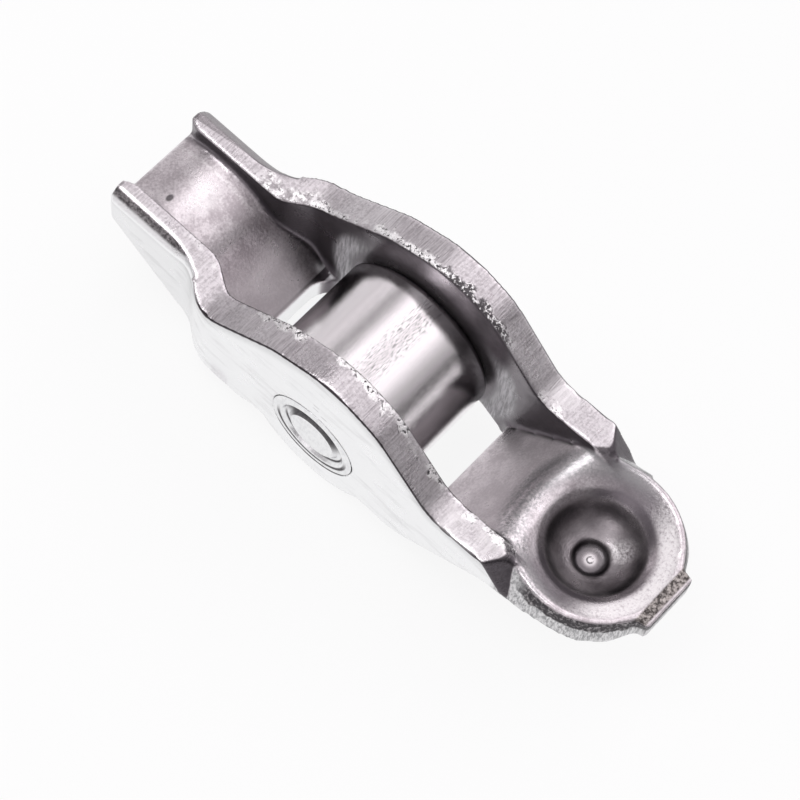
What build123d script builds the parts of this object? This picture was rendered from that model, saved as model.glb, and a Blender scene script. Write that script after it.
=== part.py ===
from build123d import *
import math
import os

os.makedirs("parts", exist_ok=True)

# Driving sizes in mm. The origin is the middle of the roller's axle, X runs from the
# valve end to the pivot end, and Z points to the open side of the stamped arm.

# Sheet and walls
sheet = 3.35
valve_wall = 2.75
bend_r = 3.3
waist_bend_r = 2.6
shoulder_r = 5.4
guide_top_z = 5.8
guide_bevel = 1.2
guide_bevel_x = -20.6
guide_bevel_r = 7.0
hump_x = 1.4
hump_top_z = 14.6
web_z = -8.3
eye_r = 8.3

# Roller, axle and needles
roller_d = 18.0
roller_w = 12.4
roller_bevel = 0.6
side_gap = 0.2
axle_d = 9.6
stake_d = 10.6
stake_depth = 0.8
ring_groove_out_d = 8.3
ring_groove_in_d = 5.8
ring_groove_depth = 0.3
needle_d = 1.6
needle_len = 11.6
race_play = 0.02
needle_gap = 0.02

# Valve end
valve_x = -30.3
valve_channel = 8.4
pad_crown_x = -25.3
pad_crown_z = 4.2
pad_r = 9.5
pad_entry_deg = 31.8
pad_exit_deg = 46.4
pad_sheet = 3.7

# Floor opening round the roller
window_valve_x = -12.2
window_pivot_x = 12.2
window_valve_r = 3.0
window_pivot_r = 0.8

# Pivot end
pivot_x = 27.8
mouth_d = 10.1
mouth_z = 3.1
mouth_ease = 0.25
socket_depth = 3.8
dome_wall = 2.7
dimple_d = 3.9
dimple_depth = 0.35
rim_d = 18.6
rim_top_d = 16.6
rim_z = 4.9
rim_edge_d = 15.8
ridge_x = 20.4
ridge_r = 2.5
tab_reach = 9.1
tab_w = 6.4

# Sizes that follow from the driving ones
inner_half = roller_w / 2 + side_gap
outer_half = inner_half + sheet
valve_inner = valve_channel / 2
valve_outer = valve_inner + valve_wall
floor_z = web_z + sheet - 0.2
needle_orbit_r = axle_d / 2 + race_play + needle_d / 2
roller_bore_r = needle_orbit_r + needle_d / 2 + race_play
needle_count = int(math.pi / math.asin((needle_d + needle_gap) / 2 / needle_orbit_r))
mouth_r = mouth_d / 2
rim_r = rim_d / 2
rim_top_r = rim_top_d / 2
rim_edge_r = rim_edge_d / 2
tab_x = pivot_x + tab_reach
ball_r = (mouth_r**2 + socket_depth**2) / (2 * socket_depth)
ball_z = mouth_z - socket_depth + ball_r
axle_half = outer_half
dish_run = (rim_edge_r - mouth_r) / (rim_z - mouth_z)
ridge_z = mouth_z + (pivot_x - ridge_x - mouth_r) / dish_run


def rounded_edges(corners, place, closed):
    """Lines through (a, b, radius) corners with an arc at each; place maps (a, b) to space."""
    count = len(corners)
    runs = []
    for i in range(count):
        a, b, r = corners[i]
        here = Vector(a, b)
        if r <= 0 or (not closed and i in (0, count - 1)):
            runs.append((here, here, here))
            continue
        pa, pb, _ = corners[i - 1]
        na, nb, _ = corners[(i + 1) % count]
        to_prev = Vector(pa - a, pb - b).normalized()
        to_next = Vector(na - a, nb - b).normalized()
        half = math.radians(to_prev.get_angle(to_next) / 2)
        centre = here + (to_prev + to_next).normalized() * (r / math.sin(half))
        middle = centre + (here - centre).normalized() * r
        back = r / math.tan(half)
        runs.append((here + to_prev * back, middle, here + to_next * back))
    edges = []
    for i in range(count):
        start, middle, end = [place(p.X, p.Y) for p in runs[i]]
        if (Vector(*end) - Vector(*start)).length > 1e-6:
            edges.append(ThreePointArc(start, middle, end))
        if i + 1 < count or closed:
            after = runs[(i + 1) % count][0]
            edges.append(Line(end, place(after.X, after.Y)))
    return edges


def side_solid(corners, half_width):
    """Side outline in X and Z, as deep as half_width each way."""
    wire = Wire(rounded_edges(corners, lambda a, b: (a, -half_width, b), True))
    return extrude(Face(wire), amount=2 * half_width, dir=(0, 1, 0))


def plan_solid(half, low, high):
    """Plan outline in X and Y from the corners of its +Y half, mirrored about the X axis."""
    whole = half + [(a, -b, r) for a, b, r in reversed(half)]
    wire = Wire(rounded_edges(whole, lambda a, b: (a, b, low), True))
    return extrude(Face(wire), amount=high - low, dir=(0, 0, 1))


def cross_rod(radius, length):
    """Rod along Y, centred on the axle."""
    return Cylinder(radius, length, rotation=(90, 0, 0))


def corner_strips(line, half_width, radius):
    """What is taken off to round the two long lower corners of a body over a line in X and Z."""
    path = Wire(rounded_edges(line, lambda a, b: (a, 0, b), False))
    start = path.position_at(0)
    along = path.tangent_at(0)
    up = Vector(-along.Z, 0, along.X)
    turn = math.sqrt(0.5)
    strips = []
    for side in (1, -1):
        flat = start + Vector(0, side * (half_width - radius), 0)
        wall = start + Vector(0, side * half_width, 0)
        out = start + Vector(0, side * (half_width + 1.0), 0)
        middle = start + Vector(0, side * (half_width - radius + radius * turn), 0) + up * radius * (1 - turn)
        section = Wire(
            [
                ThreePointArc(flat, middle, wall + up * radius),
                Line(wall + up * radius, out + up * radius),
                Line(out + up * radius, out - up),
                Line(out - up, flat - up),
                Line(flat - up, flat),
            ]
        )
        strips.append(sweep(Face(section), path=path))
    return strips[0] + strips[1]


def pad_corner(radius):
    """Corner of the two lines that run tangent to the pad's arc, for an arc of this radius."""
    half = math.radians((pad_entry_deg + pad_exit_deg) / 2)
    lean = math.radians((pad_exit_deg - pad_entry_deg) / 2)
    reach = radius / math.cos(half)
    x = pad_crown_x + reach * math.sin(lean)
    z = pad_crown_z - pad_r + reach * math.cos(lean)
    return x, z


def pad_line(radius, low_z):
    """Line over the pad: up to its arc at the valve end, over it, and down to low_z."""
    x, z = pad_corner(radius)
    back = 12.0
    entry = math.tan(math.radians(pad_entry_deg))
    leave = math.tan(math.radians(pad_exit_deg))
    return [(x - back, z - back * entry, 0), (x, z, radius), (x + (z - low_z) / leave, low_z, 2.5)]


# Underside of the web from the valve end to the flange
under_line = [
    (valve_x - 2.0, 0.2, 0),
    (-20.8, web_z, 6.0),
    (11.6, web_z, 8.0),
    (22.6, web_z + 7.4, 5.0),
    (pivot_x + 4.2, rim_z - sheet - 0.25, 0),
]


def waist_strips():
    """What is taken off to round the lower edge of each wall where the arm widens, on the flat web."""
    strips = []
    for side in (1, -1):
        line = [
            (-21.0, valve_outer, 0),
            (-19.3, valve_outer, 4.0),
            (-15.6, outer_half, shoulder_r),
            (-9.2, outer_half, 0),
        ]
        path = Wire(rounded_edges(line, lambda a, b: (a, side * b, web_z), False))
        turn = math.sqrt(0.5)
        r = waist_bend_r
        y = valve_outer
        x = line[0][0]
        points = [(y - r, 0), (y, r), (y + 1.0, r), (y + 1.0, -1.0), (y - r, -1.0)]
        flat, wall, out, deep, low = [Vector(x, side * a, web_z + b) for a, b in points]
        middle = Vector(x, side * (y - r + r * turn), web_z + r * (1 - turn))
        edges = [ThreePointArc(flat, middle, wall), Line(wall, out), Line(out, deep)]
        edges += [Line(deep, low), Line(low, flat)]
        strips.append(sweep(Face(Wire(edges)), path=path))
    return strips[0] + strips[1]


def guide_bevels():
    """Outer bevels along the tops of the two valve guides, each rising out where the arm widens."""
    start = valve_x - 1.0
    top = guide_top_z
    out = valve_outer + 0.8
    line = [(start, top, 0), (guide_bevel_x, top, guide_bevel_r), (guide_bevel_x + 4.0, top + 3.0, 0)]
    corners = [(valve_outer - guide_bevel - 1.0, top + 1.0), (out, top + 1.0), (out, top - guide_bevel - 0.8)]
    bevels = []
    for side in (1, -1):
        path = Wire(rounded_edges(line, lambda a, b: (a, side * valve_outer, b), False))
        section = Wire(Polyline(*[(start, side * y, z) for y, z in corners], close=True).edges())
        bevels.append(sweep(Face(section), path=path))
    return bevels[0] + bevels[1]


def wall_ends():
    """What is sheared off where the cut edge turns from the top of each wall to the side of the flange."""
    corner_points = [
        (pivot_x - 4.3, outer_half - 2.35, guide_top_z - 0.6),
        (pivot_x - 6.4, outer_half, guide_top_z - 0.1),
        (pivot_x - 2.6, outer_half, rim_z - sheet - 0.25),
        (pivot_x - 0.7, rim_top_r, rim_z),
    ]
    cuts = []
    for side in (1, -1):
        inner, outer, low, top = [Vector(x, side * y, z) for x, y, z in corner_points]
        fold = (low - inner).normalized()
        start = inner - fold * 3.0
        corners = [start]
        for point in (outer, top):
            away = (point - inner) - fold * (point - inner).dot(fold)
            corners.append(start + away.normalized() * 9.0)
        section = Face(Wire(Polyline(*corners, close=True).edges()))
        cuts.append(extrude(section, amount=12.0, dir=fold))
    return cuts[0] + cuts[1]


def rim_draft():
    """What is taken off the side of the flange, which leans in towards its top beside the tab."""
    low = rim_z - sheet
    ring = turned([(rim_r, low), (rim_top_r, rim_z), (rim_top_r, 8.0), (14.0, 8.0), (14.0, low)])
    beside = Pos(pivot_x + 6.3, 0, 5.0) * Box(14.0, 30.0, 12.0)
    tab = Pos(tab_x, 0, 5.0) * Box(8.0, tab_w + 0.6, 12.0)
    return ring & (beside - tab)


def arm_outline():
    """Outside of the stamping: plan outline met with side outline, with its bends rounded."""
    plan = plan_solid(
        [
            (valve_x, valve_outer, 0.6),
            (-19.3, valve_outer, 4.0),
            (-15.6, outer_half, shoulder_r),
            (pivot_x - 2.9, outer_half, 3.0),
            (pivot_x, rim_r + 0.1, 4.0),
            (pivot_x + 3.6, rim_r - 0.65, 4.0),
            (pivot_x + 6.8, tab_w / 2 + 2.9, 3.0),
            (pivot_x + 8.1, tab_w / 2 + 0.3, 0.6),
            (tab_x, tab_w / 2, 0.25),
        ],
        -12.0,
        17.0,
    )
    side = side_solid(
        under_line
        + [
            (tab_x + 1, rim_z - sheet - 0.1, 0),
            (tab_x + 1, rim_z - 0.3, 0),
            (pivot_x + 6.0, rim_z, 3.0),
            (24.6, rim_z, 1.5),
            (22.3, guide_top_z, 2.0),
            (14.9, guide_top_z - 0.6, 5.0),
            (7.4, hump_top_z - 2.0, 7.0),
            (hump_x, hump_top_z, 9.0),
            (-5.8, hump_top_z - 2.8, 7.0),
            (-14.0, guide_top_z - 0.1, 5.0),
            (valve_x - 2.0, guide_top_z, 0),
        ],
        12.0,
    )
    body = plan & side - waist_strips()
    body = body - corner_strips(under_line[:2] + [(-19.9, web_z, 0)], valve_outer, waist_bend_r)
    body = body - corner_strips([(8.4, web_z, 0)] + under_line[2:], outer_half, bend_r)
    return body - guide_bevels() - wall_ends() - rim_draft()


def channel():
    """Room between the walls, over the pad, the floor and the ramp to the pivot."""
    plan = plan_solid(
        [
            (valve_x - 1.0, valve_inner + 1.0, 0),
            (valve_x + 1.2, valve_inner, 1.5),
            (-17.9, valve_inner, 4.0),
            (-14.6, inner_half, 3.0),
            (ridge_x + 3.0, inner_half, 0),
        ],
        -12.0,
        18.0,
    )
    foot_x = window_pivot_x - 0.4
    rise = (ridge_z - floor_z) / (ridge_x - foot_x)
    ramp = [(foot_x, floor_z, 1.5), (ridge_x + 6.0, ridge_z + 6.0 * rise, 0)]
    floor = pad_line(pad_r, floor_z) + ramp
    side = side_solid(floor + [(ridge_x + 6.0, 18.0, 0), (valve_x - 8.0, 18.0, 0)], 12.0)
    return plan & side


def pad_hollow():
    """Room pressed in below the pad, so that the sheet keeps its thickness there."""
    line = pad_line(pad_r - pad_sheet, web_z - 4.0)
    line[2] = (line[2][0], line[2][1], 0)
    return side_solid(line + [(line[0][0], web_z - 4.0, 0)], valve_inner - 0.9)


def floor_window():
    """Opening in the floor that the roller passes through."""
    half = [(window_valve_x, inner_half, window_valve_r), (window_pivot_x, inner_half, window_pivot_r)]
    return plan_solid(half, web_z - 4.0, floor_z + 3.0)


def wall_feet():
    """What is cut away below the walls beside the roller, leaving a round eye about each axle end."""
    notch = side_solid(
        [
            (window_valve_x + 1.6, web_z - 4.0, 0),
            (window_valve_x + 1.6, web_z + 0.8, 1.0),
            (-8.2, web_z + 2.9, 1.5),
            (8.2, web_z + 2.9, 1.5),
            (window_pivot_x - 1.0, web_z + 0.8, 1.0),
            (window_pivot_x - 1.0, web_z - 4.0, 0),
        ],
        14.0,
    )
    return notch - cross_rod(eye_r, 40.0)


def turned(points):
    """Solid turned about the pivot's upright axis from (radius, z) corners."""
    face = Face(Wire(Polyline(*[(pivot_x + r, 0, z) for r, z in points], close=True).edges()))
    return revolve(face, axis=Axis((pivot_x, 0, 0), (0, 0, 1)))


def flange_dish():
    """Dished top of the pivot flange, whose slope runs on into the ends of the walls."""
    reach = rim_edge_r + 2.0 * dish_run
    return turned([(0, mouth_z), (mouth_r, mouth_z), (reach, rim_z + 2.0), (reach, 18.0), (0, 18.0)])


def open_top():
    """All the room above the sheet, with the crest between the ramp and the dish rounded."""
    room = channel() + flange_dish()
    crest = []
    for edge in room.edges():
        box = edge.bounding_box()
        if box.min.X > ridge_x - 0.5 and box.max.X < ridge_x + 2.0 and box.size.Y > inner_half * 1.9:
            crest.append(edge)
    return fillet(crest, ridge_r)


def ball_seat():
    """Socket for the pivot's ball, with its eased mouth and the small dimple at its bottom."""
    ball = Pos(pivot_x, 0, ball_z) * Sphere(ball_r)
    seat = ball & (Pos(pivot_x, 0, mouth_z - 5.0) * Cylinder(mouth_r + 1.0, 10.0))
    high = mouth_z + 1.0
    low = mouth_z - 0.4
    ease_r = mouth_r + mouth_ease
    mouth = turned([(0, high), (ease_r + 1.0, high), (ease_r - 0.4, low), (0, low)])
    dimple_z = mouth_z - socket_depth - dimple_depth
    dimple = Pos(pivot_x, 0, dimple_z + 1.0) * Cone(dimple_d / 2 - 0.3, dimple_d / 2 + 0.2, 2.0)
    return seat + mouth + dimple


def socket_dome():
    """Outside of the pressed socket below the flange."""
    ball = Pos(pivot_x, 0, ball_z) * Sphere(ball_r + dome_wall)
    return ball & (Pos(pivot_x, 0, mouth_z - 10.5) * Cylinder(rim_edge_r, 20.0))


def axle_shape():
    """Axle with ends spread into the walls' countersinks."""
    r = axle_d / 2
    flare = stake_d / 2
    points = [(0, -axle_half), (flare, -axle_half), (r, -axle_half + stake_depth)]
    points += [(r, axle_half - stake_depth), (flare, axle_half), (0, axle_half)]
    face = Face(Wire(Polyline(*[(a, b, 0) for a, b in points], close=True).edges()))
    return revolve(face, axis=Axis.Y)


def arm():
    """The stamped arm as one piece."""
    body = arm_outline() - open_top() - pad_hollow() + socket_dome()
    body = body - ball_seat() - floor_window() - wall_feet()
    return body - axle_shape()


def axle():
    """Axle with a ring pressed into each end, which spreads it in the arm."""
    body = axle_shape()
    groove = cross_rod(ring_groove_out_d / 2, ring_groove_depth) - cross_rod(ring_groove_in_d / 2, 1.0)
    for side in (1, -1):
        body = body - Pos(0, side * (axle_half - ring_groove_depth / 2), 0) * groove
    return body


def roller():
    """Outer ring that the cam runs on."""
    ring = cross_rod(roller_d / 2, roller_w)
    ring = chamfer(ring.edges().filter_by(GeomType.CIRCLE), roller_bevel)
    return ring - cross_rod(roller_bore_r, roller_w + 2)


def needle(index):
    """One loose needle roller, placed on its orbit round the axle."""
    turn = 2 * math.pi * (index + 0.5) / needle_count
    rod = cross_rod(needle_d / 2, needle_len)
    return Pos(needle_orbit_r * math.cos(turn), 0, needle_orbit_r * math.sin(turn)) * rod


export_step(arm(), "parts/arm.step")
export_step(axle(), "parts/axle.step")
export_step(roller(), "parts/roller.step")
for n in range(needle_count):
    export_step(needle(n), f"parts/needle_{n + 1}.step")
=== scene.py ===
import math

import bmesh
import bpy
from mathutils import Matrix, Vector


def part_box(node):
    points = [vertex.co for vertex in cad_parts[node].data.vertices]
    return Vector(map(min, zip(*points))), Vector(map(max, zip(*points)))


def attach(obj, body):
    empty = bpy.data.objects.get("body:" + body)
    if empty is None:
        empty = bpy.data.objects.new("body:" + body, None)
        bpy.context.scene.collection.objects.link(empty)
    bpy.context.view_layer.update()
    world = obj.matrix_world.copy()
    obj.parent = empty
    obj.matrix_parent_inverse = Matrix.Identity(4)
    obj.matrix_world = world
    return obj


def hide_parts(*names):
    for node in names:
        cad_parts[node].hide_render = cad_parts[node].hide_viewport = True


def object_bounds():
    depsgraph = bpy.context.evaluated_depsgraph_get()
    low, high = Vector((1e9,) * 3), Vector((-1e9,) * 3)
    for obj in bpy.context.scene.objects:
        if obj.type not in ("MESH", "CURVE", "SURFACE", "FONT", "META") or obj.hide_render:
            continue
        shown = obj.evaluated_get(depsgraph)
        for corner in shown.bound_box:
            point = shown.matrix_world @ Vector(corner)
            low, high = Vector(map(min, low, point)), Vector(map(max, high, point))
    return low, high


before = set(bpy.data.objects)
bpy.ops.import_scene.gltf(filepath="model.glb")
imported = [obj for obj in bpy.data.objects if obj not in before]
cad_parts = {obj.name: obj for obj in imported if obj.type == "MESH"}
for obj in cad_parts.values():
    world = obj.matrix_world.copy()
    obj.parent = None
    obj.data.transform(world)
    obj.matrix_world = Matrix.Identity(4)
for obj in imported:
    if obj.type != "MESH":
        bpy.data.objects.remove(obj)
cad_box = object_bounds()

# Camera
# A long lens looks down on the arm from the side of its near wall and the pivot end, turned
# a little about its own line of sight, so that the arm runs from upper left to lower right.
camera_place = Vector((0.0567, -0.0869, 0.2437))
camera_aim = Vector((0.0034, -0.0006, -0.0010))
camera_roll = math.radians(11.7)
camera_lens = 121.5
camera_sensor = 36.0
camera_nearest = 0.01


def object_of(name, data):
    """A new object that holds the data, put in the scene."""
    made = bpy.data.objects.new(name, data)
    bpy.context.scene.collection.objects.link(made)
    return made


camera_data = bpy.data.cameras.new("camera")
camera_data.lens = camera_lens
camera_data.sensor_width = camera_sensor
camera_data.clip_start = camera_nearest
camera = object_of("camera", camera_data)
camera.location = camera_place
camera.rotation_euler = (camera_aim - camera_place).to_track_quat("-Z", "Y").to_euler()
camera.rotation_euler.rotate_axis("Z", camera_roll)
bpy.context.scene.camera = camera
bpy.context.scene.view_settings.view_transform = "Standard"


# Floor and studio
# A white paper floor lies under the roller. Long strips of light and shade run over it across
# the arm, side by side, and they give the ground steel its stripes along the axle.
floor_half = 1.5
floor_colour = (0.80, 0.80, 0.81, 1.0)
floor_white = 0.88
paper_white = (1, 1, 1, 1)
studio_tint = (1.0, 0.965, 0.985)

# Brightness of the strips, by degrees from overhead towards the pivot end
studio_stripes = [
    (-180, 0.20),
    (-112, 0.10),
    (-104, 0.58),
    (-58, 0.70),
    (-53, 1.00),
    (-49, 0.36),
    (-33, 0.33),
    (-25, 1.20),
    (1, 1.20),
    (5, 0.45),
    (9, 1.20),
    (35, 1.15),
    (42, 0.62),
    (62, 0.40),
    (68, 0.11),
    (80, 0.12),
    (84, 0.95),
    (93, 0.95),
    (98, 0.12),
    (180, 0.20),
]

# Brightness along the strips, from the near side at -1 to the far side at 1
studio_sides = [
    (-1.0, 0.62),
    (-0.82, 0.50),
    (-0.66, 0.28),
    (0.25, 0.50),
    (0.40, 0.50),
    (0.75, 1.00),
    (1.0, 0.60),
]
studio_gain = 2.0
box_place = Vector((-0.20, -0.15, 0.60))
box_size = 0.35
box_power = 1.2


def shader_node(tree, kind, inputs=None, **settings):
    """A node with its settings, each input given a value or joined to another node's output."""
    made = tree.nodes.new("ShaderNode" + kind)
    for name, value in settings.items():
        setattr(made, name, value)
    for name, value in (inputs or {}).items():
        socket = made.inputs[name]
        if isinstance(value, bpy.types.NodeSocket):
            tree.links.new(value, socket)
        else:
            socket.default_value = value
    return made


def sum_of(tree, operation, *values):
    """Output of a Math node."""
    return shader_node(tree, "Math", dict(enumerate(values)), operation=operation).outputs[0]


def between(tree, value, low, high):
    """0 where value is below low, 1 above high, and a smooth step between them."""
    inputs = {"Value": value, "From Min": low, "From Max": high}
    return shader_node(tree, "MapRange", inputs, interpolation_type="SMOOTHSTEP").outputs[0]


def blend_of(tree, share, first, second):
    """Colour that goes from first to second as share goes from 0 to 1."""
    return shader_node(tree, "Mix", {0: share, 6: first, 7: second}, data_type="RGBA").outputs[2]


def levels_of(tree, value, stops):
    """Value read off a ramp of (place, level) stops."""
    made = shader_node(tree, "ValToRGB", {0: value})
    ramp = made.color_ramp.elements
    for index, (place, level) in enumerate(stops):
        stop = ramp[index] if index < 2 else ramp.new(place)
        stop.position = place
        stop.color = (level, level, level, 1.0)
    return made.outputs[0]


def new_material(name):
    """An empty node material, its tree and its output."""
    made = bpy.data.materials.new(name)
    made.use_nodes = True
    made.node_tree.nodes.clear()
    out = shader_node(made.node_tree, "OutputMaterial")
    return made, made.node_tree, out


def piece_of(name, solid):
    """A new object that holds the bmesh's mesh."""
    mesh = bpy.data.meshes.new(name)
    solid.to_mesh(mesh)
    solid.free()
    return object_of(name, mesh)


flat = bmesh.new()
bmesh.ops.create_grid(flat, x_segments=1, y_segments=1, size=floor_half)
bmesh.ops.translate(flat, verts=flat.verts, vec=(0, 0, cad_box[0][2]))
floor = piece_of("floor", flat)

floor_paper, tree, out = new_material("floor_paper")
rays = shader_node(tree, "LightPath")
seen = sum_of(tree, "MAXIMUM", rays.outputs["Is Camera Ray"], rays.outputs["Is Glossy Ray"])
matt = shader_node(tree, "BsdfDiffuse", {"Color": floor_colour})
white = shader_node(tree, "Emission", {"Color": paper_white, "Strength": 1.0})
share = sum_of(tree, "MULTIPLY", seen, floor_white)
paper = shader_node(tree, "MixShader", {0: share, 1: matt.outputs[0], 2: white.outputs[0]})
tree.links.new(paper.outputs[0], out.inputs["Surface"])
floor.data.materials.append(floor_paper)

world = bpy.data.worlds.new("studio")
bpy.context.scene.world = world
world.use_nodes = True
tree = world.node_tree
tree.nodes.clear()
way = shader_node(tree, "TexCoord")
part = shader_node(tree, "SeparateXYZ", {0: way.outputs["Generated"]})
turn = sum_of(tree, "ARCTAN2", part.outputs["X"], part.outputs["Z"])
along = sum_of(tree, "MULTIPLY_ADD", turn, 0.5 / math.pi, 0.5)
across = sum_of(tree, "MULTIPLY_ADD", part.outputs["Y"], 0.5, 0.5)
stripe_stops = [((degrees + 180) / 360, level) for degrees, level in studio_stripes]
side_stops = [((y + 1) / 2, level) for y, level in studio_sides]
stripes = levels_of(tree, along, stripe_stops)
sides = levels_of(tree, across, side_stops)
level = sum_of(tree, "MULTIPLY", sum_of(tree, "MULTIPLY", stripes, sides), studio_gain)
lit = shader_node(tree, "VectorMath", {0: studio_tint, "Scale": level}, operation="SCALE").outputs[0]
rays = shader_node(tree, "LightPath")
shown = blend_of(tree, rays.outputs["Is Camera Ray"], lit, paper_white)
sky = shader_node(tree, "Background", {"Color": shown, "Strength": 1.0})
out = shader_node(tree, "OutputWorld")
tree.links.new(sky.outputs[0], out.inputs["Surface"])

box_data = bpy.data.lights.new("box_above", "AREA")
box_data.size = box_size
box_data.energy = box_power
box = object_of("box_above", box_data)
box.location = box_place
box.rotation_euler = (-box_place).to_track_quat("-Z", "Y").to_euler()


# Stamped arm
# One piece of steel sheet, blanked and pressed into a channel with a valve pad, two bearing
# walls and a ball socket. Its faces are satin, and its blanked edges are torn and striped.
# Light and shade are painted into its colour: shade at the walls' feet and ends, on the inner walls, in the
# bowl and on the brinks, and highlights on the pad, lip, bowl and wall tops.
arm_voxel = 0.00027
arm_smooth_share = 0.5
arm_smooth_turns = 3
# Share of the arm's colour kept where it is seen in a reflection: painted shade in its hollows
arm_reflection_share = 0.32
loose_gap = 1e-6
to_mm = 1000.0

# Sizes of the channel, its walls and the flange, in mm
valve_channel_half = 4.2
roller_channel_half = 6.4
valve_wall = 2.75
roller_wall = 3.35
channel_widens = (-18.8, -14.2)
window_x = -12.2
pivot_x = 27.8
mouth_r = 5.05
dimple_r = 1.95
lip_r = 7.6
rim_r = 8.2
rim_low_z = 1.4
rim_high_z = 4.9
tab_edge_x = 35.35
tab_edge_end = 36.50

# Line of the walls' tops: the lowest of these (slope, offset) lines, but not under the guides
top_lines = [(0.744, 16.1), (0.389, 14.05), (-0.333, 15.07), (-0.987, 19.9)]
top_round = 2.0
guide_top = 5.6
guide_round = 1.5
above_all = 40.0

# Marks left by use and by the press, the painted highlight on the pad's crown, and the painted highlight that
# is the pale patch in the bowl
pad_highlight_place = (-23.2, 0.0, 0.0)
pad_highlight_stretch = (0.75, 1.0, 0)
pad_highlight_fray = -1.6
speck_place = (-26.24, -2.49, 0.0)
speck_stretch = (1, 0.7, 0)
glow_place = (29.7, 2.2, 0.0)
scuffs = [(0.1, 7.0), (0.15, 7.75), (1.2, 6.5)]
scuff_half_long = 0.35
scuff_half_high = 0.09
scuff_fades = (0.15, 0.10)
scuff_share = 0.9

# Line of y over x past which the far guide tapers, and the depth of the bump in metres
taper_line = (0.13, 8.75)
smooth_depth = 0.00003
cut_depth = 0.00006
torn_depth = 0.00018

# Colours of the steel
satin_low = (0.47, 0.425, 0.45, 1.0)
satin_high = (0.78, 0.73, 0.757, 1.0)
# Satin painted lit, for the painted highlights on the pad, the lip, the bowl and the flange's side
satin_lit = (0.95, 0.92, 0.93, 1.0)
# Brighter satin for the painted light on the floor and the ramp, which are also made matt
satin_matt_lit = (0.95, 0.885, 0.915, 1.0)
# Painted shade: dark tones for the inner walls, the walls' feet and the walls' ends
painted_shade_low = (0.16, 0.142, 0.158, 1.0)
painted_shade_high = (0.27, 0.245, 0.265, 1.0)
coined_low = (0.44, 0.435, 0.45, 1.0)
coined_high = (0.92, 0.915, 0.94, 1.0)
# The bowl painted dark as shade
bowl_shade_low = (0.27, 0.245, 0.260, 1.0)
bowl_shade_high = (0.54, 0.50, 0.52, 1.0)
rim_grey = (0.33, 0.325, 0.335, 1.0)
rim_pale = (0.70, 0.69, 0.70, 1.0)
outer_pale = (0.94, 0.94, 0.95, 1.0)
outer_grey = (0.60, 0.595, 0.605, 1.0)
cut_low = (0.40, 0.37, 0.39, 1.0)
cut_high = (0.66, 0.625, 0.65, 1.0)
cut_line = (0.060, 0.052, 0.058, 1.0)
near_low = (0.10, 0.092, 0.098, 1.0)
near_high = (0.34, 0.32, 0.33, 1.0)
# Painted shade on the far guide's rolled brink
far_bevel_shade = (0.20, 0.188, 0.196, 1.0)
# Dark of torn steel and of marks, also laid on as painted shade at the feet, in the bowl and dimple and on
# the walls' ends
torn_and_shade_dark = (0.055, 0.05, 0.055, 1.0)
# Pale of torn steel, also laid on as painted shine and sheen on the wall tops
torn_pale_and_shine = (0.95, 0.93, 0.94, 1.0)
tab_dark = (0.07, 0.062, 0.060, 1.0)
tab_pale = (0.42, 0.385, 0.37, 1.0)

# Limits of the channel's finishes and painted light and shade: each is a measure, where the finish is gone,
# where it is full
lying_flat = [("up", 0.42, 0.72)]
before_flange = [("x", 23.6, 22.8)]
far_side = [("y", -1.0, 1.0)]
near_side = [("y", 1.0, -1.0)]
# Painted shade at the walls' feet: on the floor, on the ramp, by the far wall's end and by the far guide
floor_foot_shade = [("through", -0.34, -0.10), ("x", 20.0, 17.0)]
# Painted highlight along a crease on the pad's far side
pad_ridge_highlight = [("y", 2.25, 2.85), ("y", 3.15, 2.55), ("x", -19.0, -21.5), ("speckle", 0.2, 0.9)]
# Painted highlight on the pad's crown
pad_highlight = [("highlight_reach", 1.2, -1.4)]
pad_speck = [("from_speck", 0.42, 0.22)]
ramp_foot_shade = [("through", -0.20, -0.09), ("x", 12.0, 13.0), ("x", 21.0, 19.0)]
end_foot_shade = [("through", -0.16, -0.04), ("x", 20.0, 21.0), ("x", 25.7, 24.7), ("y", 1.0, 3.0)]
far_foot_shade = [("through", -0.30, -0.12), ("y", 1.0, 3.0), ("x", -20.5, -18.5), ("x", -12.6, -13.2)]
window_cut = [("x", window_x - 0.6, window_x - 0.4), ("x", window_x + 0.5, window_x + 0.3), ("z", -3.0, -4.0)]
window_edge = [("ahead", 0.14, 0.30), ("ahead", 0.70, 0.54)]
window_face = [("ahead", 0.62, 0.80), ("side", 5.2, 4.2)]
corner_along = [("x", window_x - 1.5, window_x - 0.9), ("x", window_x + 1.3, window_x + 0.7)]
corner_across = [("z", -3.0, -4.5), ("side", 4.8, 5.6)]
# Painted light lifting the valve end's floor and the ramp up to the dish
floor_light = [("x", -18.5, -15.5), ("x", -11.5, -12.5), ("y", 5.2, 1.5), ("z", 3.0, 0.0)]
ramp_light = [("x", 11.5, 15.5), ("from_pivot", 7.6, 10.5), ("through", 0.0, -0.2)]
# Inner walls painted dark as shade, painted lighter towards the top
inner_walls = [("outward", -0.30, -0.60), ("through", 0.45, 0.30)]
inner_light = [("z", -3.0, 12.0)]
# The coined ring round the axle on the inner walls, its brushed tone shown only low down as painted light
coined_ring_lit_below = [("from_axle", 9.2, 10.6), ("from_axle", 12.7, 11.3), ("z", 8.0, 3.0)]

# Limits of the ball seat's finishes and painted light and shade
# Bowl painted dark as shade, with painted shade round its mouth
seat_bowl = [("from_pivot", mouth_r + 0.25, mouth_r - 0.35), ("up", -0.2, 0.0)]
mouth_shade = [("from_pivot", mouth_r - 1.45, mouth_r - 0.55), ("from_pivot", mouth_r + 0.35, mouth_r - 0.55)]
# Painted highlight in the bowl beside the dimple, broken by speckle
bowl_glow = [("from_glow", 1.9, 0.3), ("speckle", 0.30, 0.65)]
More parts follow.
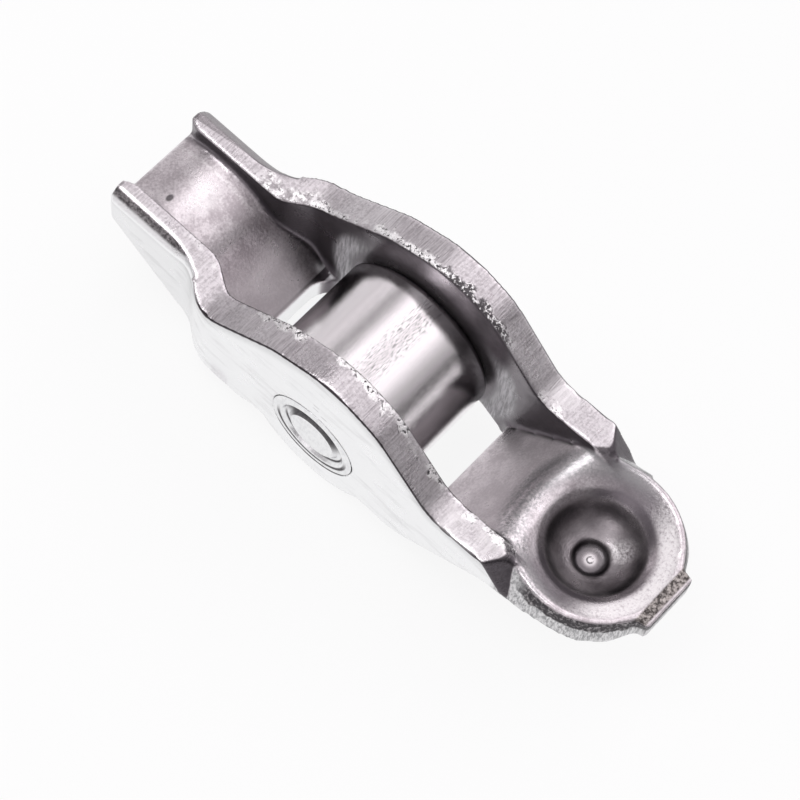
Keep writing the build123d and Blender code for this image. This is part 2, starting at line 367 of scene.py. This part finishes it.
# Painted shade on the dimple's ring and sides, and a painted highlight on its flat bottom, round the dark
# centre mark
dimple_ring_shade = [
    ("from_pivot", dimple_r - 1.05, dimple_r - 0.55),
    ("from_pivot", dimple_r + 0.20, dimple_r - 0.30),
]
dimple_shade = [("from_pivot", 0.42, 0.98), ("from_pivot", dimple_r - 0.42, dimple_r - 0.98)]
dimple_disc_highlight = [("from_pivot", dimple_r - 1.20, dimple_r - 1.70)]
dimple_point = [("from_pivot", 0.16, 0.32), ("from_pivot", 0.48, 0.32), ("pits", 0.35, 0.55)]
# Painted light on the lip round the dish
lip_light = [("from_pivot", lip_r - 0.65, lip_r - 0.05), ("from_pivot", lip_r + 0.45, lip_r - 0.15)]
crest_ring = [("from_pivot", lip_r - 1.5, lip_r - 0.3), ("from_pivot", lip_r + 2.6, lip_r + 1.4)]
crest_side = [("x", pivot_x + 2.5, pivot_x - 1.5)]
# Painted light on the dish's side towards the tab
tab_side_ring = [("from_pivot", mouth_r + 0.5, mouth_r + 1.3), ("from_pivot", lip_r + 0.4, lip_r - 0.4)]
tab_side = [("x", pivot_x + 1.0, pivot_x + 5.0)]

# Limits of the outer walls' and the cut edges' finishes and painted light and shade
outer_walls = [("through", 0.80, 0.95), ("up", 0.72, 0.42)]
# Painted shade on the outer faces just below the rolled top edge
under_top_shade = [("below_top", 1.9, 0.1)]
valve_end = [("x", -15.5, -18.5)]
wall_tops = [("through", -0.05, 0.02)]
torn_patches = [("patches", 0.42, 0.52), ("x", -23.0, -19.0)]
far_shoulder = [("x", -21.8, -20.2), ("x", -14.7, -16.3)]
dark_stretch = [("x", -1.0, 2.0), ("x", 11.0, 8.0)]
# The rolled brink's leaning face, painted dark as shade on the guides, with a painted highlight along its
# outer edge
bevels = [("outward", 0.30, 0.48), ("up", 0.15, 0.40), ("through", 0.45, 0.6)]
bevel_start = [("x", -15.5, -18.0)]
bevel_brink_highlight = [("through", 0.76, 0.86)]
taper_start = [("x", -18.5, -20.5)]
# Painted shine where the near wall tops lean out, and painted sheen on the wall tops before the flange
shine_lean = [("outward", 0.04, 0.16), ("outward", 0.30, 0.18), ("x", -15.0, -18.0)]
top_sheen = [("x", 12.0, 16.0), ("x", 24.0, 20.0), ("patches", 0.35, 0.60)]

# Limits of the finishes and painted shade on the flange's side, the walls' ends and the tab
flange_rim = [("from_pivot", rim_r - 0.5, rim_r - 0.1), ("x", 22.8, 23.6)]
rim_lean = [("up", 0.75, 0.50)]
rim_over = [("up", -0.6, -0.3)]
torn_high = [("torn_up", 0.56, 0.64), ("torn_along", 24.2, 26.4)]
# The walls' slanted ends by the flange, painted dark as shade
wall_end_shade = [("ahead", 0.18, 0.36), ("x", 21.1, 21.7), ("x", 27.1, 26.5), ("side", 6.2, 6.6)]
tab_top = [("x", tab_edge_x - 0.12, tab_edge_x + 0.12), ("x", tab_edge_end + 0.12, tab_edge_end - 0.12)]


def merged_copy(node, name):
    """The CAD node's mesh with its loose triangles joined, as a new piece."""
    solid = bmesh.new()
    solid.from_mesh(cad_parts[node].data)
    bmesh.ops.remove_doubles(solid, verts=solid.verts, dist=loose_gap)
    return piece_of(name, solid)


def finish_with(piece, kind, **settings):
    """A modifier with its settings."""
    made = piece.modifiers.new(kind.lower(), kind)
    for name, value in settings.items():
        setattr(made, name, value)


stamping = merged_copy("arm", "stamped_arm")
finish_with(stamping, "REMESH", mode="VOXEL", voxel_size=arm_voxel, use_smooth_shade=True)
finish_with(stamping, "SMOOTH", factor=arm_smooth_share, iterations=arm_smooth_turns)


def new_group(name, inputs, outputs):
    """An empty shader group with named sockets, and its two end nodes."""
    group = bpy.data.node_groups.new(name, "ShaderNodeTree")
    for socket, kind in inputs:
        group.interface.new_socket(socket, in_out="INPUT", socket_type="NodeSocket" + kind)
    for socket, kind in outputs:
        group.interface.new_socket(socket, in_out="OUTPUT", socket_type="NodeSocket" + kind)
    return group, group.nodes.new("NodeGroupInput"), group.nodes.new("NodeGroupOutput")


def noise(tree, place, scale, detail=3.0, rough=0.55):
    """Value of a noise texture."""
    inputs = {"Vector": place, "Scale": scale, "Detail": detail, "Roughness": rough}
    return shader_node(tree, "TexNoise", inputs).outputs[0]


# Grain of rolled steel: a mask of soft clouds, and a fine grain for the bump
steel_grain, ends, gives = new_group(
    "steel_grain",
    [("Place", "Vector"), ("Cloud size", "Float"), ("Grain size", "Float")],
    [("Clouds", "Float"), ("Grain", "Float")],
)
clouds = noise(steel_grain, ends.outputs["Place"], ends.outputs["Cloud size"], detail=5.0, rough=0.62)
steel_grain.links.new(between(steel_grain, clouds, 0.28, 0.72), gives.inputs["Clouds"])
fine = noise(steel_grain, ends.outputs["Place"], ends.outputs["Grain size"], detail=4.0, rough=0.65)
steel_grain.links.new(fine, gives.inputs["Grain"])


def stretched(tree, place, stretch):
    """Place stretched along the axes, for a pattern with a direction."""
    return shader_node(tree, "VectorMath", {0: place, 1: stretch}, operation="MULTIPLY").outputs[0]


def distance_of(tree, place, centre, stretch):
    """How far a place lies from a centre, with the axes stretched."""
    moved = shader_node(tree, "VectorMath", {0: place, 1: centre}, operation="SUBTRACT").outputs[0]
    moved = stretched(tree, moved, stretch)
    return shader_node(tree, "VectorMath", {0: moved}, operation="LENGTH").outputs["Value"]


def product(tree, *values):
    """Product of several masks."""
    made = values[0]
    for value in values[1:]:
        made = sum_of(tree, "MULTIPLY", made, value)
    return made


def most_of(tree, *values):
    """Largest of several masks."""
    made = values[0]
    for value in values[1:]:
        made = sum_of(tree, "MAXIMUM", made, value)
    return made


def inside(tree, value, low, high, soft):
    """1 where value lies from low to high, and a smooth fall to 0 over soft on each side."""
    risen = between(tree, value, low - soft, low + soft)
    return product(tree, risen, between(tree, value, high + soft, high - soft))


def share_of(tree, share, first, second):
    """Number that goes from first to second as share goes from 0 to 1."""
    return shader_node(tree, "Mix", {0: share, 2: first, 3: second}).outputs[0]


def where(tree, spot, limits, *masks):
    """Mask of the points within all the limits, times any other masks."""
    met = [between(tree, spot[measure], gone, full) for measure, gone, full in limits]
    return product(tree, *met, *masks)


def coated(tree, colour, coats):
    """Colour under coats that are laid on in turn, each a mask, its strength and its colour."""
    for mask, strength, coat in coats:
        colour = blend_of(tree, product(tree, mask, strength), colour, coat)
    return colour


def steel_skin(name, colour_of, reflection_share=1.0):
    """Steel whose colour, roughness, height, depth and metal share come from colour_of."""
    made, tree, out = new_material(name)
    own = shader_node(tree, "TexCoord").outputs
    scaled = {0: own["Object"], "Scale": to_mm}
    place = shader_node(tree, "VectorMath", scaled, operation="SCALE").outputs[0]
    at = shader_node(tree, "SeparateXYZ", {0: place}).outputs
    facing = shader_node(tree, "SeparateXYZ", {0: own["Normal"]}).outputs
    colour, rough, height, depth, metal = colour_of(tree, place, at, facing)
    glossy = shader_node(tree, "LightPath").outputs["Is Glossy Ray"]
    # Seen in a reflection the colour is darkened: painted shade
    colour = blend_of(tree, sum_of(tree, "MULTIPLY", glossy, 1.0 - reflection_share), colour, (0, 0, 0, 1))
    bump = shader_node(tree, "Bump", {"Height": height, "Strength": 1.0, "Distance": depth})
    inputs = {"Base Color": colour, "Metallic": metal, "Roughness": rough, "Normal": bump.outputs[0]}
    inputs["Specular IOR Level"] = 0.0
    skin = shader_node(tree, "BsdfPrincipled", inputs)
    tree.links.new(skin.outputs[0], out.inputs["Surface"])
    return made


def wall_measures(tree, x, y, z):
    """Depth through the wall, from 0 at its inner face to 1 at its outer, and below its top."""
    side = sum_of(tree, "ABSOLUTE", y)
    widened = between(tree, x, *channel_widens)
    inner_face = share_of(tree, widened, valve_channel_half, roller_channel_half)
    sheet = share_of(tree, widened, valve_wall, roller_wall)
    through = sum_of(tree, "DIVIDE", sum_of(tree, "SUBTRACT", side, inner_face), sheet)
    top = above_all
    for slope, offset in top_lines:
        line = sum_of(tree, "MULTIPLY_ADD", x, slope, offset)
        top = sum_of(tree, "SMOOTH_MIN", top, line, top_round)
    top = sum_of(tree, "SMOOTH_MAX", top, guide_top, guide_round)
    return {"side": side, "through": through, "below_top": sum_of(tree, "SUBTRACT", top, z)}


def sheet_measures(tree, place, at, facing):
    """All that is known of a spot on the sheet: its place, how it faces, and its patterns."""
    x, y, z = at["X"], at["Y"], at["Z"]
    spot = {"x": x, "y": y, "z": z, "ahead": facing["X"], "up": facing["Z"]}
    spot.update(wall_measures(tree, x, y, z))
    spot["outward"] = sum_of(tree, "MULTIPLY", facing["Y"], sum_of(tree, "SIGN", y))
    spot["from_pivot"] = distance_of(tree, place, (pivot_x, 0, 0), (1, 1, 0))
    spot["from_axle"] = distance_of(tree, place, (0, 0, 0), (1, 0, 1))
    spot["from_speck"] = distance_of(tree, place, speck_place, speck_stretch)
    spot["from_glow"] = distance_of(tree, place, glow_place, (1, 1, 0))
    sizes = {"Place": place, "Cloud size": 0.30, "Grain size": 3.4}
    grain = shader_node(tree, "Group", sizes, node_tree=steel_grain).outputs
    spot["clouds"] = grain["Clouds"]
    spot["grain"] = grain["Grain"]
    spot["speckle"] = noise(tree, place, scale=3.6, detail=4.0, rough=0.7)
    spot["pits"] = noise(tree, place, scale=2.6, detail=4.0, rough=0.7)
    spot["patches"] = noise(tree, place, scale=0.22, detail=2.0)
    # Reach of the painted highlight on the pad's crown, frayed by the clouds
    from_pad_highlight = distance_of(tree, place, pad_highlight_place, pad_highlight_stretch)
    spot["highlight_reach"] = sum_of(tree, "MULTIPLY_ADD", spot["clouds"], pad_highlight_fray, from_pad_highlight)
    ragged = noise(tree, place, scale=0.9, detail=4.0, rough=0.65)
    spot["ragged"] = sum_of(tree, "MULTIPLY_ADD", ragged, 0.9, -0.45)
    high = sum_of(tree, "DIVIDE", sum_of(tree, "SUBTRACT", z, rim_low_z), rim_high_z - rim_low_z)
    spot["torn_up"] = sum_of(tree, "MULTIPLY_ADD", spot["ragged"], 0.35, high)
    spot["torn_along"] = sum_of(tree, "MULTIPLY_ADD", spot["ragged"], 2.0, x)
    spot["flat"] = where(tree, spot, lying_flat)
    spot["wall_top"] = where(tree, spot, wall_tops, spot["flat"], where(tree, spot, before_flange))
    return spot


def channel_colours(tree, place, spot):
    """Satin floor and pad with painted shade at the feet, painted light and highlights, inner walls painted
    dark as shade, and the ring coined round the axle.
    """
    clouds, speckle = spot["clouds"], spot["speckle"]
    mottled = between(tree, share_of(tree, 0.68, clouds, speckle), 0.32, 0.68)
    satin = blend_of(tree, mottled, satin_low, satin_high)
    at_window = where(tree, spot, window_cut)
    corner_tone = blend_of(tree, speckle, coined_low, outer_grey)
    inner_shade_tone = blend_of(tree, where(tree, spot, inner_light, clouds), painted_shade_low, painted_shade_high)
    strokes = noise(tree, stretched(tree, place, (1.0, 0.2, 0.10)), scale=3.2, detail=3.0, rough=0.7)
    coined_tone = blend_of(tree, between(tree, strokes, 0.32, 0.68), coined_low, coined_high)
    spot["corner"] = where(tree, spot, corner_along + corner_across)
    spot["floor_light"] = where(tree, spot, floor_light, spot["flat"])
    spot["ramp_light"] = where(tree, spot, ramp_light, spot["flat"])
    spot["inner"] = where(tree, spot, inner_walls)
    spot["coined"] = where(tree, spot, coined_ring_lit_below, spot["inner"])
    coats = [
        # Painted shade at the walls' feet
        (where(tree, spot, floor_foot_shade), 0.75, painted_shade_high),
        (where(tree, spot, pad_ridge_highlight), 1.0, satin_lit),
        # Painted highlight on the pad's crown
        (where(tree, spot, pad_highlight), share_of(tree, 0.5, speckle, 0.7), satin_lit),
        (where(tree, spot, pad_speck), 0.8, torn_and_shade_dark),
        (where(tree, spot, ramp_foot_shade), 1.0, torn_and_shade_dark),
        (where(tree, spot, end_foot_shade), 0.9, painted_shade_low),
        (where(tree, spot, window_face, at_window), 1.0, outer_pale),
        (spot["corner"], 1.0, corner_tone),
        (where(tree, spot, window_edge, at_window), 1.0, cut_line),
        # Painted light on the floor and, below, on the ramp
        (spot["floor_light"], 0.55, satin_matt_lit),
        (where(tree, spot, far_foot_shade), 0.92, torn_and_shade_dark),
        (spot["ramp_light"], 0.4, satin_matt_lit),
        # Inner walls painted dark as shade
        (spot["inner"], 1.0, inner_shade_tone),
        # Coined ring, painted lit low down
        (spot["coined"], 1.0, coined_tone),
    ]
    return coated(tree, satin, coats)


def seat_colours(tree, spot, satin):
    """Bowl painted dark as shade with a painted highlight, painted shade and a painted highlight in its
    dimple, painted light on the lip and the side towards the tab, and the mottled crest round the dish.
    """
    clouds, speckle = spot["clouds"], spot["speckle"]
    bowl = where(tree, spot, seat_bowl)
    rough = between(tree, share_of(tree, 0.5, speckle, spot["pits"]), 0.56, 0.40)
    least = share_of(tree, between(tree, spot["y"], -1.0, 4.0), 0.25, 0.60)
    crest = where(tree, spot, crest_ring + crest_side, spot["flat"])
    lip = where(tree, spot, lip_light, spot["flat"], between(tree, speckle, 0.25, 0.60))
    spot["glow"] = where(tree, spot, bowl_glow, bowl)
    spot["tab_side"] = where(tree, spot, tab_side_ring + tab_side)
    coats = [
        (bowl, 1.0, blend_of(tree, clouds, bowl_shade_low, bowl_shade_high)),
        (where(tree, spot, mouth_shade, bowl), share_of(tree, clouds, 0.70, 0.45), torn_and_shade_dark),
        # Painted highlight in the bowl
        (spot["glow"], 0.8, satin_lit),
        # Painted shade and highlight in the dimple
        (where(tree, spot, dimple_ring_shade, bowl), 0.85, torn_and_shade_dark),
        (where(tree, spot, dimple_shade, bowl), 0.65, torn_and_shade_dark),
        (where(tree, spot, dimple_disc_highlight, bowl), 0.65, satin_lit),
        (where(tree, spot, dimple_point, bowl), 1.0, torn_and_shade_dark),
        # Painted light on the lip
        (lip, 0.25, satin_lit),
        (crest, share_of(tree, rough, least, 0.90), rim_grey),
        # Painted light on the side towards the tab
        (spot["tab_side"], between(tree, speckle, 0.22, 0.60), satin_lit),
    ]
    return coated(tree, satin, coats)


def outer_colours(tree, place, spot, satin):
    """Outer walls nearly white, with painted shade beside the cut edge, and grey below the guides and in
    scuffs.
    """
    streaks = noise(tree, stretched(tree, place, (0.25, 1, 1)), scale=0.9, detail=3.0)
    long_fade, high_fade = scuff_fades
    greys = [
        where(tree, spot, under_top_shade, share_of(tree, 0.5, spot["speckle"], 0.8)),
        product(tree, between(tree, streaks, 0.50, 0.75), 0.35),
        where(tree, spot, valve_end, 0.22),
    ]
    for scuff_x, scuff_z in scuffs:
        along = inside(tree, spot["x"], scuff_x - scuff_half_long, scuff_x + scuff_half_long, long_fade)
        high = inside(tree, spot["z"], scuff_z - scuff_half_high, scuff_z + scuff_half_high, high_fade)
        greys.append(product(tree, along, high, scuff_share))
    grey = greys[0]
    for more in greys[1:]:
        grey = sum_of(tree, "ADD", grey, more)
    outer_tone = blend_of(tree, grey, outer_pale, outer_grey)
    return blend_of(tree, where(tree, spot, outer_walls), satin, outer_tone)


def cut_edge_colours(tree, place, spot, face):
    """Cut edges pale, faintly striped across, and torn in patches along the inner edge."""
    speckle, pits = spot["speckle"], spot["pits"]
    far = where(tree, spot, far_side)
    stripes = noise(tree, stretched(tree, place, (1, 0.08, 1)), scale=5.0, detail=2.0, rough=0.7)
    striped = share_of(tree, between(tree, spot["patches"], 0.40, 0.60), 0.35, 0.75)
    spot["cut_tone"] = share_of(tree, striped, speckle, stripes)
    cut = blend_of(tree, between(tree, spot["cut_tone"], 0.33, 0.62), cut_low, cut_high)
    torn_from = sum_of(tree, "ADD", spot["through"], spot["ragged"])
    beside = between(tree, torn_from, 0.36, 0.16)
    broad = between(tree, torn_from, 0.75, 0.45)
    shoulder = where(tree, spot, far_shoulder, far)
    dark_side = where(tree, spot, dark_stretch, far)
    in_patches = where(tree, spot, torn_patches, beside)
    spot["broken"] = most_of(
        tree, in_patches, product(tree, shoulder, broad), product(tree, dark_side, beside)
    )
    least = share_of(tree, dark_side, 0.44, 0.55)
    sparks = between(tree, sum_of(tree, "SUBTRACT", pits, least), -0.03, 0.03)
    lumps = between(tree, noise(tree, place, scale=1.5, detail=3.0, rough=0.6), 0.38, 0.60)
    dots = blend_of(tree, shoulder, torn_and_shade_dark, near_high)
    dots = blend_of(tree, dark_side, dots, near_low)
    pale = blend_of(tree, shoulder, torn_pale_and_shine, blend_of(tree, lumps, cut_low, torn_pale_and_shine))
    cut = blend_of(tree, spot["broken"], cut, blend_of(tree, sparks, dots, pale))
    return blend_of(tree, spot["wall_top"], face, cut)


def bevel_colours(tree, spot, colour):
    """Rolled outer brink of the cut edges, a dark line by the roller, painted dark as shade and mottled on
    the guides with a painted highlight on its brink, and painted shine and sheen on the tops.
    """
    speckle, wall_top = spot["speckle"], spot["wall_top"]
    far_tone = blend_of(tree, speckle, far_bevel_shade, near_low)
    near_tone = blend_of(tree, between(tree, spot["pits"], 0.40, 0.62), near_low, near_high)
    near_tone = blend_of(tree, where(tree, spot, bevel_brink_highlight), near_tone, outer_pale)
    guide_tone = blend_of(tree, where(tree, spot, far_side), near_tone, far_tone)
    tone = blend_of(tree, where(tree, spot, bevel_start), cut_line, guide_tone)
    taper_y = sum_of(tree, "MULTIPLY_ADD", spot["x"], *taper_line)
    taper = between(tree, sum_of(tree, "SUBTRACT", spot["y"], taper_y), 0.0, 0.22)
    coats = [
        (where(tree, spot, bevels, where(tree, spot, before_flange)), 1.0, tone),
        (where(tree, spot, taper_start, taper, wall_top), 1.0, blend_of(tree, speckle, cut_low, far_bevel_shade)),
        # Painted shine and sheen on the wall tops
        (where(tree, spot, shine_lean + near_side, wall_top), 1.0, torn_pale_and_shine),
        (where(tree, spot, top_sheen, wall_top), 0.4, torn_pale_and_shine),
    ]
    return coated(tree, colour, coats)


def flange_side_colours(tree, place, spot, colour):
    """Flange's side torn dark above and striped upright below, with the walls' ends painted dark as shade,
    and the tab.
    """
    upright = noise(tree, stretched(tree, place, (1, 1, 0.08)), scale=4.5, detail=2.0, rough=0.7)
    rim_tone = blend_of(tree, between(tree, upright, 0.36, 0.62), rim_grey, rim_pale)
    rough_tone = blend_of(tree, between(tree, spot["pits"], 0.48, 0.66), torn_and_shade_dark, near_high)
    rim_tone = blend_of(tree, where(tree, spot, torn_high), rim_tone, rough_tone)
    tab_tone = blend_of(tree, between(tree, spot["pits"], 0.40, 0.62), tab_dark, tab_pale)
    spot["rim"] = where(tree, spot, flange_rim + rim_lean + rim_over)
    spot["tab_top"] = where(tree, spot, tab_top, spot["flat"])
    coats = [
        (spot["rim"], 1.0, rim_tone),
        # Walls' ends painted dark as shade
        (where(tree, spot, wall_end_shade), 1.0, blend_of(tree, spot["pits"], torn_and_shade_dark, painted_shade_low)),
        (spot["tab_top"], 1.0, tab_tone),
    ]
    return coated(tree, colour, coats)


def stamped_colours(tree, place, at, facing):
    """Satin faces with painted light and shade, inner walls painted dark as shade, pale outer walls, and the
    torn and striped cut edges.
    """
    spot = sheet_measures(tree, place, at, facing)
    colour = channel_colours(tree, place, spot)
    colour = seat_colours(tree, spot, colour)
    colour = outer_colours(tree, place, spot, colour)
    colour = cut_edge_colours(tree, place, spot, colour)
    colour = bevel_colours(tree, spot, colour)
    colour = flange_side_colours(tree, place, spot, colour)

    edge = most_of(tree, spot["wall_top"], spot["rim"], spot["tab_top"])
    torn = most_of(tree, spot["broken"], spot["tab_top"])
    height = share_of(tree, edge, spot["grain"], share_of(tree, torn, spot["cut_tone"], spot["pits"]))
    edge_depth = share_of(tree, spot["broken"], cut_depth, torn_depth)
    depth = share_of(tree, edge, smooth_depth, edge_depth)
    dull = share_of(tree, spot["clouds"], 0.34, 0.26)
    matt = most_of(
        tree,
        product(tree, spot["floor_light"], 0.65),
        product(tree, spot["ramp_light"], 0.5),
        product(tree, spot["tab_side"], 0.8),
        product(tree, spot["glow"], 0.5),
        product(tree, spot["inner"], share_of(tree, spot["coined"], 0.18, 0.85)),
        product(tree, spot["corner"], 0.6),
    )
    shaded = product(tree, matt, sum_of(tree, "SUBTRACT", 1.0, edge))
    return colour, dull, height, depth, sum_of(tree, "SUBTRACT", 1.0, shaded)


stamping.data.materials.append(steel_skin("stamped_steel", stamped_colours, arm_reflection_share))
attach(stamping, "arm_body")
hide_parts("arm")


# Roller
# A ring of hardened bearing steel that the cam runs on. Its tread and sides are ground bright,
# with fine dashes along the axle, and its edges are softly bevelled.
roller_r = 9.0
roller_half = 6.2
roller_bore_r = 6.46
roller_bevel = 0.6
roller_round = 0.22
bore_round = 0.1
roller_turns = 160
roller_bump = 0.00001
merge_gap = 1e-7
roller_pale = (0.97, 0.935, 0.955, 1.0)
roller_grey = (0.93, 0.89, 0.912, 1.0)
dash_from = math.radians(0)
dash_to = math.radians(17)
dash_fade = 0.05
dash_share = 0.7
dash_stretch = (15.0, 1.3, 1)
band_stretch = (1.1, 0.05, 1)


def spun(name, profile, turns, centre):
    """A closed outline of (radius, y) corners in mm, turned about the Y line through centre."""
    solid = bmesh.new()
    middle = Vector((centre[0], 0, centre[1])) / to_mm
    corners = [solid.verts.new(middle + Vector((0, y, r)) / to_mm) for r, y in profile]
    lines = []
    for pair in zip(corners, corners[1:] + corners[:1]):
        if max((corner.co - middle).z for corner in pair) > merge_gap:
            lines.append(solid.edges.new(pair))
    bmesh.ops.spin(
        solid,
        geom=corners + lines,
        cent=middle,
        axis=(0, 1, 0),
        angle=math.tau,
        steps=turns,
        use_merge=True,
    )
    bmesh.ops.remove_doubles(solid, verts=solid.verts, dist=merge_gap)
    bmesh.ops.recalc_face_normals(solid, faces=solid.faces)
    for face in solid.faces:
        face.smooth = True
    return piece_of(name, solid)


def rounded(corners, steps=4):
    """Outline through (radius, y, rounding) corners, each cut back and turned by a short arc."""
    outline = []
    for index, (r, y, cut) in enumerate(corners):
        here = Vector((r, y))
        before = Vector(corners[index - 1][:2]) - here
        after = Vector(corners[(index + 1) % len(corners)][:2]) - here
        start = here + before.normalized() * cut
        end = here + after.normalized() * cut
        for step in range(steps + 1 if cut else 1):
            t = step / steps
            outline.append(tuple(start * (1 - t) ** 2 + here * 2 * t * (1 - t) + end * t**2))
    return outline


tread = [
    (roller_bore_r, -roller_half, bore_round),
    (roller_r - roller_bevel, -roller_half, roller_round),
    (roller_r, -roller_half + roller_bevel, roller_round),
    (roller_r, roller_half - roller_bevel, roller_round),
    (roller_r - roller_bevel, roller_half, roller_round),
    (roller_bore_r, roller_half, bore_round),
]
roller = spun("cam_roller", rounded(tread), roller_turns, (0, 0))


def ground_colours(tree, place, at, facing):
    """Bright ground steel with short dashes along the axle."""
    turned = sum_of(tree, "ARCTAN2", at["X"], at["Z"])
    around = sum_of(tree, "MULTIPLY", turned, roller_r)
    wrapped = shader_node(tree, "CombineXYZ", {0: around, 1: at["Y"], 2: 0.0}).outputs[0]
    dashes = noise(tree, stretched(tree, wrapped, dash_stretch), scale=1.0, detail=3.0, rough=0.65)
    bands = noise(tree, stretched(tree, wrapped, band_stretch), scale=1.0, detail=2.0)
    tone = blend_of(tree, between(tree, bands, 0.35, 0.7), roller_pale, roller_grey)
    marked = inside(tree, turned, dash_from, dash_to, dash_fade)
    marks = product(tree, between(tree, dashes, 0.50, 0.62), marked, dash_share)
    tone = blend_of(tree, marks, tone, torn_and_shade_dark)
    return tone, share_of(tree, dashes, 0.09, 0.14), dashes, roller_bump, 1.0


roller.data.materials.append(steel_skin("ground_steel", ground_colours))
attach(roller, "roller_body")
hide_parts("roller")


# Axle
# A hardened steel pin pressed through both walls. Its ends are staked: a ring groove is struck
# in each, and the rim round it is spread into the countersunk hole.
axle_r = 4.8
axle_end_r = 5.25
axle_half = 9.75
axle_spread = 0.8
groove_inner_top = 2.83
groove_inner_foot = 3.20
groove_outer_foot = 3.75
groove_outer_top = 4.05
groove_deep = 0.42
groove_top_round = 0.10
groove_foot_round = 0.12
axle_edge_round = 0.22
axle_neck_round = 0.1
axle_turns = 96
axle_rough = 0.30
axle_bump = 0.00003
shade_lines_matt = -0.9
axle_pale = (0.90, 0.90, 0.91, 1.0)
axle_grey = (0.76, 0.76, 0.775, 1.0)
axle_shade_line = (0.045, 0.042, 0.045, 1.0)

# Painted shade lines in the groove and near the edge, each from radius to radius with its fade, and the z
# that bounds each half
groove_floor_shade = (2.75, 3.95, 0.05)
groove_foot_shade = (3.57, 3.79, 0.06)
edge_gap_shade = (4.19, 4.57, 0.10)
open_side = (-0.2, 2.0)
web_side = (1.0, -1.5)

one_end = [
    (0, axle_half, 0),
    (groove_inner_top, axle_half, groove_top_round),
    (groove_inner_foot, axle_half - groove_deep, groove_foot_round),
    (groove_outer_foot, axle_half - groove_deep, groove_foot_round),
    (groove_outer_top, axle_half, groove_top_round),
    (axle_end_r, axle_half, axle_edge_round),
    (axle_r, axle_half - axle_spread, axle_neck_round),
]
other_end = [(r, -y, cut) for r, y, cut in reversed(one_end)]
axle = spun("staked_axle", rounded(one_end + other_end), axle_turns, (0, 0))


def staked_colours(tree, place, at, facing):
    """Pale end faces with painted shade lines at the groove and near the edge, each on one side of the end.
    """
    reach = distance_of(tree, place, (0, 0, 0), (1, 0, 1))
    wiped = noise(tree, stretched(tree, place, (1.2, 1, 0.5)), scale=2.4, detail=4.0, rough=0.65)
    tone = blend_of(tree, between(tree, wiped, 0.35, 0.75), axle_pale, axle_grey)
    rings = []
    for line, half in [(groove_floor_shade, open_side), (groove_foot_shade, web_side), (edge_gap_shade, web_side)]:
        rings.append(product(tree, inside(tree, reach, *line), between(tree, at["Z"], *half)))
    # Painted shade lines, each on one side of the end
    shade_lines = most_of(tree, *rings)
    tone = blend_of(tree, product(tree, shade_lines, share_of(tree, 0.2, 1.0, wiped)), tone, axle_shade_line)
    metal = sum_of(tree, "MULTIPLY_ADD", shade_lines, shade_lines_matt, 1.0)
    return tone, axle_rough, wiped, axle_bump, metal


axle.data.materials.append(steel_skin("axle_steel", staked_colours))
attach(axle, "arm_body")
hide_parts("axle")


# Needles
# Loose bearing needles that fill the space between the axle and the roller. Each is a plain
# ground pin with softly rounded ends.
needle_round = 0.25
needle_turns = 24
needle_rough = 0.22
needle_bump = 0.00002
needle_pale = (0.80, 0.78, 0.79, 1.0)
needle_grey = (0.55, 0.53, 0.54, 1.0)


def needle_colours(tree, place, at, facing):
    """Ground steel with a fine grain."""
    grain = noise(tree, stretched(tree, place, (1, 0.3, 1)), scale=4.0, detail=3.0)
    tone = blend_of(tree, grain, needle_pale, needle_grey)
    return tone, needle_rough, grain, needle_bump, 1.0


needle_steel = steel_skin("needle_steel", needle_colours)
for node in sorted(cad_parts):
    if not node.startswith("needle_"):
        continue
    low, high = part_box(node)
    middle = [(a + b) / 2 * to_mm for a, b in zip(low, high)]
    needle_r = (high[0] - low[0]) / 2 * to_mm
    needle_half = (high[1] - low[1]) / 2 * to_mm
    pin = [
        (0, -needle_half, 0),
        (needle_r, -needle_half, needle_round),
        (needle_r, needle_half, needle_round),
        (0, needle_half, 0),
    ]
    needle = spun("bearing_" + node, rounded(pin), needle_turns, (middle[0], middle[2]))
    needle.data.materials.append(needle_steel)
    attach(needle, "needle_set")
    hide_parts(node)
